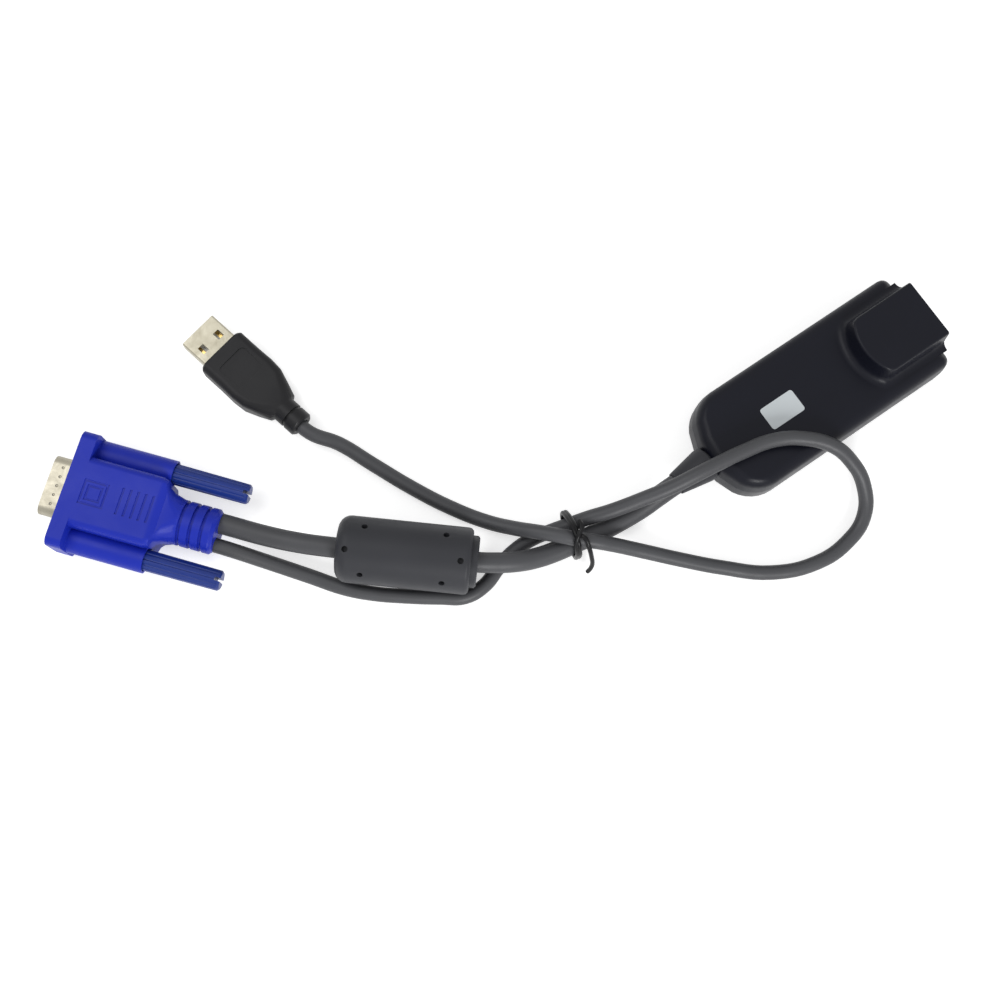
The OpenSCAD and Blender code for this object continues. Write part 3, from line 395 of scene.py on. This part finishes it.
finish = {
    "modulePlastic": moulded("modulePlastic", (0.0058, 0.0064, 0.0115), (0.03, 0.031, 0.036),
                             roughness=0.36, specular=0.16),
    "labelStock": moulded("labelStock", (0.56, 0.6, 0.62), (0.72, 0.74, 0.75), roughness=0.5,
                          grain=5200.0, depth=0.1, wave=0.05, wear=0.3, mottle=0.03),
    "boardLaminate": moulded("boardLaminate", (0.02, 0.11, 0.045), (0.2, 0.3, 0.15),
                             roughness=0.3, depth=0.15),
    "chipPlastic": moulded("chipPlastic", (0.012, 0.012, 0.014), (0.05, 0.05, 0.05),
                           roughness=0.55),
    "capacitorCan": metal("capacitorCan", (0.6, 0.61, 0.63), (0.4, 0.4, 0.4), roughness=0.35),
    "creamPlastic": moulded("creamPlastic", (0.75, 0.71, 0.6), (0.8, 0.78, 0.7)),
    "leadInsulation": moulded("leadInsulation", (0.45, 0.05, 0.04), (0.5, 0.1, 0.08),
                              roughness=0.35),
    "jackPlastic": moulded("jackPlastic", (0.008, 0.009, 0.012), (0.04, 0.04, 0.045),
                           roughness=0.38, specular=0.18),
    "nickel": metal("nickel", (0.4, 0.375, 0.305), (0.27, 0.245, 0.185), roughness=0.32),
    # tin plate: the metal's own colour, with a painted warm reflection that tints both its tones
    # beige
    "tinPlateWarmReflection": metal("tinPlateWarmReflection", (0.43, 0.405, 0.325), (0.34, 0.31, 0.23), roughness=0.36,
                      tarnish=0.55),
    "jackShield": metal("jackShield", (0.62, 0.62, 0.6), (0.42, 0.42, 0.4), roughness=0.28),
    "goldPlate": metal("goldPlate", (0.83, 0.6, 0.22), (0.6, 0.4, 0.14), roughness=0.22),
    "screwSteel": metal("screwSteel", (0.55, 0.56, 0.58), (0.35, 0.35, 0.36), roughness=0.33),
    "greyMoulding": moulded("greyMoulding", (0.028, 0.029, 0.034), (0.08, 0.08, 0.085),
                            roughness=0.48, specular=0.24, wear=0.25),
    "cableJacket": moulded("cableJacket", (0.055, 0.056, 0.061), (0.1, 0.1, 0.105),
                           roughness=0.48, specular=0.35, grain=2600.0, depth=0.2, wear=0.0,
                           mottle=0.15),
    "ferrite": moulded("ferrite", (0.03, 0.03, 0.032), (0.08, 0.08, 0.08), roughness=0.6),
    "blueMoulding": moulded("blueMoulding", (0.0105, 0.025, 0.385), (0.04, 0.06, 0.5),
                            roughness=0.4, specular=0.2, wear=0.3, mottle=0.08),
    "blueKnob": moulded("blueKnob", (0.010, 0.030, 0.20), (0.05, 0.09, 0.32),
                        roughness=0.34, specular=0.3, wear=0.4),
    "whitePlastic": moulded("whitePlastic", (0.85, 0.85, 0.82), (0.9, 0.9, 0.88), roughness=0.3),
    "blackMoulding": moulded("blackMoulding", (0.0095, 0.0095, 0.0108), (0.05, 0.05, 0.055),
                             roughness=0.42, specular=0.22, wear=0.3),
    "tiePlastic": moulded("tiePlastic", (0.006, 0.006, 0.007), (0.03, 0.03, 0.03),
                          roughness=0.3, specular=0.18, wear=0.0),
    "insulator": moulded("insulator", (0.012, 0.016, 0.028), (0.05, 0.05, 0.06), roughness=0.4),
}
for piece in (videoCablePiece, usbCablePiece):
    piece.data.materials.append(finish["cableJacket"])
twistTiePiece.data.materials.append(finish["tiePlastic"])
print("materials made")

# CAD nodes refined: a merged copy with fine edge rounding, over the node it stands for; each row
# is the piece's name, its finish, its slot, its edges' radius in mm and their steps
refined = {
    "case_top": ("caseTop", "modulePlastic", "module_plastic", 0.22, 3),
    "case_bottom": ("caseBottom", "modulePlastic", "module_plastic", 0.22, 3),
    "case_screws": ("caseScrews", "screwSteel", "screw_steel", 0.08, 2),
    "case_label": ("caseLabel", "labelStock", "label_stock", 0.03, 2),
    "circuit_board": ("circuitBoard", "boardLaminate", "board_laminate", 0.0, 0),
    "cable_gland": ("cableGland", "greyMoulding", "grey_moulding", 0.2, 3),
    "jack_housing": ("jackHousing", "jackPlastic", "jack_plastic", 0.12, 2),
    "jack_shield": ("jackShield", "jackShield", "bright_metal", 0.0, 0),
    "jack_contacts": ("jackContacts", "goldPlate", "contact_metal", 0.0, 0),
    "ferrite_moulding": ("ferriteMoulding", "greyMoulding", "grey_moulding", 0.12, 2),
    "vga_hood": ("vgaHood", "blueMoulding", "blue_moulding", 0.2, 3),
    "vga_shell": ("vgaShell", "nickel", "bright_metal", 0.1, 2),
    "vga_insulator": ("vgaInsulator", "insulator", "jack_plastic", 0.08, 2),
    "vga_pins": ("vgaPins", "goldPlate", "contact_metal", 0.1, 2),
    "upper_screw": ("upperScrew", "screwSteel", "screw_steel", 0.15, 2),
    "lower_screw": ("lowerScrew", "screwSteel", "screw_steel", 0.15, 2),
    "upper_knob": ("upperKnob", "blueKnob", "blue_knob", 0.1, 2),
    "lower_knob": ("lowerKnob", "blueKnob", "blue_knob", 0.1, 2),
    "usb_shell": ("usbShell", "tinPlateWarmReflection", "bright_metal", 0.06, 2),
    "usb_tongue": ("usbTongue", "whitePlastic", "white_plastic", 0.1, 2),
    "usb_contacts": ("usbContacts", "goldPlate", "contact_metal", 0.04, 2),
    "usb_overmould": ("usbOvermould", "blackMoulding", "black_moulding", 0.25, 3),
}


# the module's cable end, in mm: the outline of the CAD, and that of the photograph, which the
# copies of the case and the gland are drawn to; each is where its middle lies, the radius of its
# bow and that of its corners
caseEnd = {
    "halfWidth": 16.25, "fixedFrom": -8.0, "edge": 2.5,
    "cad": (-38.5, 45.0, 7.5), "photo": (-37.3, 22.0, 11.0),
    "glandTip": -48.2,
}


def endLine(outline, y):
    back, bow, corner = outline
    lean = math.asin((caseEnd["halfWidth"] - corner) / (bow - corner))
    if abs(y) < bow * math.sin(lean):
        return back + bow - math.sqrt(bow ** 2 - y ** 2)
    rise = min(abs(y) - (caseEnd["halfWidth"] - corner), corner)
    return back + bow - (bow - corner) * math.cos(lean) - math.sqrt(corner ** 2 - rise ** 2)


def drawInCase(piece):
    for vertex in piece.data.vertices:
        x, y = vertex.co.x / mm, vertex.co.y / mm
        old = endLine(caseEnd["cad"], y)
        share = (caseEnd["fixedFrom"] - x) / (caseEnd["fixedFrom"] - old - caseEnd["edge"])
        vertex.co.x += (endLine(caseEnd["photo"], y) - old) * min(max(share, 0), 1) ** 2 * mm


def drawOutGland(piece):
    tip, foot, newFoot = caseEnd["glandTip"], caseEnd["cad"][0], caseEnd["photo"][0]
    for vertex in piece.data.vertices:
        share = (vertex.co.x / mm - tip) / (foot - tip)
        vertex.co.x += (newFoot - foot) * min(max(share, 0), 1) * mm


def rollBead(piece):
    roll = Matrix.Rotation(math.radians(beadRoll), 4, "X")
    piece.matrix_world = beadFrame @ roll @ beadFrame.inverted()
    bpy.ops.object.transform_apply(location=True, rotation=True, scale=True)


# the USB overmould's width along the plug: (mm from the plug's mouth, share of the CAD's width),
# with the shoulder at "ledge", where its taper meets the neck
usbShoulder = {
    "widths": [(9.3, 1.05), (16.5, 1.09), (21.8, 1.055), (25.6, 1.19), (29.9, 1.27), (33.4, 1.28)],
    "ledge": 33.8,
}


def shoulderUsb(piece):
    bpy.ops.object.mode_set(mode="EDIT")
    bpy.ops.mesh.select_all(action="SELECT")
    bpy.ops.mesh.bisect(plane_co=inFrame(usbFrame, (usbShoulder["ledge"], 0, 0)),
                        plane_no=usbFrame.to_3x3() @ Vector((1, 0, 0)))
    bpy.ops.object.mode_set(mode="OBJECT")
    intoPlug = usbFrame.inverted()
    widths = usbShoulder["widths"]
    for vertex in piece.data.vertices:
        place = intoPlug @ vertex.co
        x = max(place.x / mm, widths[0][0])
        for (start, startShare), (end, endShare) in zip(widths, widths[1:]):
            if start <= x <= end:
                place.y *= startShare + (endShare - startShare) * (x - start) / (end - start)
                break
        vertex.co = usbFrame @ place


reshaped = {
    "case_top": drawInCase, "case_bottom": drawInCase, "circuit_board": drawInCase,
    "cable_gland": drawOutGland, "ferrite_moulding": rollBead, "usb_overmould": shoulderUsb,
}

# points merged within this many m, faces joined within this many degrees, and edges from there on
refining = {"mergeWithin": 2e-6, "flatWithin": 0.4, "sharpFrom": 38}
def refine(nodeName):
    pieceName, finishName, slotName, edge, steps = refined[nodeName]
    piece = bpy.data.objects.new(pieceName, frame["nodes"][nodeName].data.copy())
    scene.collection.objects.link(piece)
    piece.data.materials.clear()
    piece.data.materials.append(finish[finishName])
    pickOnly(piece)
    bpy.ops.object.mode_set(mode="EDIT")
    bpy.ops.mesh.select_all(action="SELECT")
    bpy.ops.mesh.remove_doubles(threshold=refining["mergeWithin"])
    bpy.ops.mesh.dissolve_limited(angle_limit=math.radians(refining["flatWithin"]))
    bpy.ops.object.mode_set(mode="OBJECT")
    if nodeName in reshaped:
        reshaped[nodeName](piece)
    if steps:
        bevel = piece.modifiers.new("edges", "BEVEL")
        bevel.width = edge * mm
        bevel.segments = steps
        bevel.limit_method = "ANGLE"
        bevel.angle_limit = math.radians(refining["sharpFrom"])
        applyAll(piece)
    smooth(piece, refining["sharpFrom"])
    weighted = piece.modifiers.new("evenNormals", "WEIGHTED_NORMAL")
    weighted.keep_sharp = True
    applyAll(piece)
    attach(piece, bodyOf[nodeName])
    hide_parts(nodeName)


for nodeName in refined:
    refine(nodeName)

# CAD nodes that stay as they are, with their finish
hidden = {
    "board_chips": "chipPlastic", "board_capacitors": "capacitorCan",
    "lead_connector": "creamPlastic", "cable_leads": "leadInsulation",
    "ferrite_core": "ferrite",
    "vga_inner_mould": "creamPlastic", "usb_inner_mould": "creamPlastic",
}
for nodeName, finishName in hidden.items():
    mesh = frame["nodes"][nodeName].data
    mesh.materials.clear()
    mesh.materials.append(finish[finishName])
print("pieces refined")

# floor, lamps and background; a lamp is its power in W, its size and its place in m
studio = {
    "floorSize": 12,
    "floorColour": (0.8, 0.8, 0.8, 1),
    "floorRoughness": 0.9,
    "floorGlow": 0.56,
    "backgroundColour": (1, 1, 1, 1),
    "ambient": 0.5,
    "topLamp": (1.9, 0.5, (-0.35, 0.35, 0.75)),
    "sideLamp": (2.4, 0.2, (-0.25, -0.5, 0.3)),
    "lampTarget": (-0.08, 0.03, 0.0),
}


def backgroundMask(tree):
    path = tree.nodes.new("ShaderNodeLightPath")
    first = addNode(tree, "ShaderNodeMath", operation="MAXIMUM")
    second = addNode(tree, "ShaderNodeMath", operation="MAXIMUM")
    join(tree,
         (path.outputs["Is Camera Ray"], first.inputs[0]),
         (path.outputs["Is Glossy Ray"], first.inputs[1]),
         (first.outputs["Value"], second.inputs[0]),
         (path.outputs["Is Transmission Ray"], second.inputs[1]))
    return second.outputs["Value"]


bpy.ops.object.select_all(action="DESELECT")
bpy.ops.mesh.primitive_plane_add(size=studio["floorSize"], location=(0, 0, 0))
floor = bpy.context.active_object
floor.name = "floor"
floorFinish = bpy.data.materials.new("floorFinish")
floorFinish.use_nodes = True
tree = floorFinish.node_tree
shader = tree.nodes["Principled BSDF"]
shader.inputs["Base Color"].default_value = studio["floorColour"]
shader.inputs["Roughness"].default_value = studio["floorRoughness"]
shader.inputs["Specular IOR Level"].default_value = 0.0
shader.inputs["Emission Color"].default_value = studio["backgroundColour"]
glow = addNode(tree, "ShaderNodeMath", operation="MULTIPLY")
glow.inputs[1].default_value = studio["floorGlow"]
join(tree,
     (backgroundMask(tree), glow.inputs[0]),
     (glow.outputs["Value"], shader.inputs["Emission Strength"]))
floor.data.materials.append(floorFinish)

world = bpy.data.worlds.new("studioWorld")
world.use_nodes = True
scene.world = world
tree = world.node_tree
level = addNode(tree, "ShaderNodeMapRange")
level.inputs["To Min"].default_value = studio["ambient"]
level.inputs["To Max"].default_value = 1.0
join(tree, (backgroundMask(tree), level.inputs["Value"]),
     (level.outputs["Result"], tree.nodes["Background"].inputs["Strength"]))
tree.nodes["Background"].inputs["Color"].default_value = studio["backgroundColour"]


def areaLamp(name):
    power, size, place = studio[name]
    lamp = bpy.data.lights.new(name, "AREA")
    lamp.energy = power
    lamp.size = size
    lampObject = bpy.data.objects.new(name, lamp)
    lampObject.location = place
    aim = Vector(studio["lampTarget"]) - Vector(place)
    lampObject.rotation_euler = aim.to_track_quat("-Z", "Y").to_euler()
    scene.collection.objects.link(lampObject)


areaLamp("topLamp")
areaLamp("sideLamp")
print("studio set")

bpy.context.view_layer.update()
